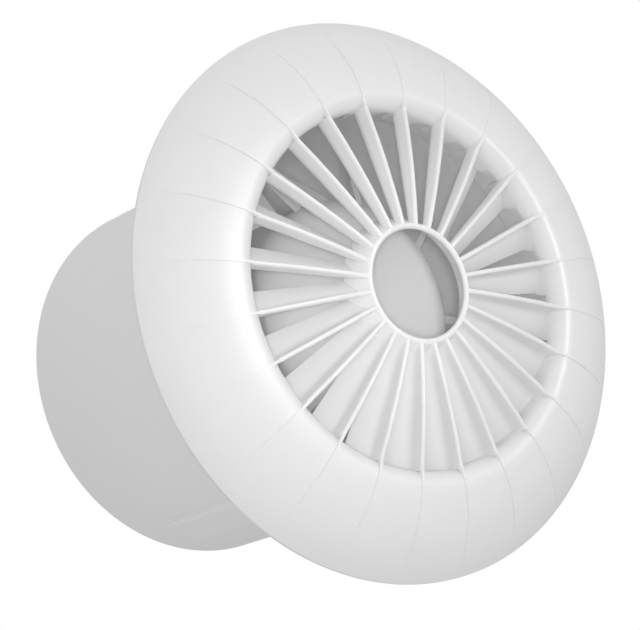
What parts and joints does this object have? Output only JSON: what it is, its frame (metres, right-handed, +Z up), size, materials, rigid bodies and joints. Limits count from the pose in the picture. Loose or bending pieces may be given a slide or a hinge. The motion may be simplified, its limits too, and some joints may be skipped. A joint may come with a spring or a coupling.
{
  "type": "axial extractor fan",
  "caption": "White wall or ceiling extractor fan with a flared round bezel, curved radial louvre grille, spinning impeller and a short round duct spigot behind.",
  "frame": {"origin": "on the fan's axis at the flange's back face, where the wall surface is", "axes": "+Y along the axis into the wall and the duct, -Y towards the room, +Z up"},
  "size_m": [0.1452, 0.1079, 0.1452],
  "materials": {
    "white_shell": "smooth moulded, slight sheen",
    "white_motor": "smooth moulded",
    "magnet": "bonded ferrite, dull",
    "yoke_steel": "plain rolled",
    "shaft_steel": "ground",
    "bearing_steel": "polished",
    "laminations": "stacked sheet, oiled",
    "insulation": "natural nylon",
    "copper": "enamelled copper wire",
    "tin": "tinned",
    "board": "solder mask",
    "capacitor": "sleeved can",
    "connector": "natural nylon",
    "zinc_screw": "zinc plated",
    "brown_lead": "PVC insulation",
    "blue_lead": "PVC insulation",
    "grommet_rubber": "soft"
  },
  "bodies": {
    "housing": {"front_grille": "white_shell", "mounting_flange": "white_shell", "duct_tube": "white_shell", "motor_mount": "white_motor", "motor_cover": "white_motor", "front_bearing": "bearing_steel", "rear_bearing": "bearing_steel", "stator_core": "laminations", "front_insulator": "insulation", "rear_insulator": "insulation", "stator_windings": "copper", "winding_pins": "tin", "circuit_board": "board", "smoothing_capacitor": "capacitor", "lead_connector": "connector", "board_screws": "zinc_screw", "live_lead": "brown_lead", "neutral_lead": "blue_lead", "terminal_block": "connector", "terminal_screws": "zinc_screw", "cord_clamp": "white_motor", "clamp_screws": "zinc_screw", "cable_grommet": "grommet_rubber"},
    "rotor": {"impeller": "white_motor", "rotor_yoke": "yoke_steel", "rotor_magnet": "magnet", "shaft": "shaft_steel", "preload_spring": "shaft_steel", "retaining_clip": "yoke_steel"}
  },
  "joints": [
    {"name": "impeller_spin", "type": "hinge", "parent": "housing", "child": "rotor", "pos_m": [0, 0.02, 0], "axis": [0, 1, 0], "continuous": true}
  ]
}
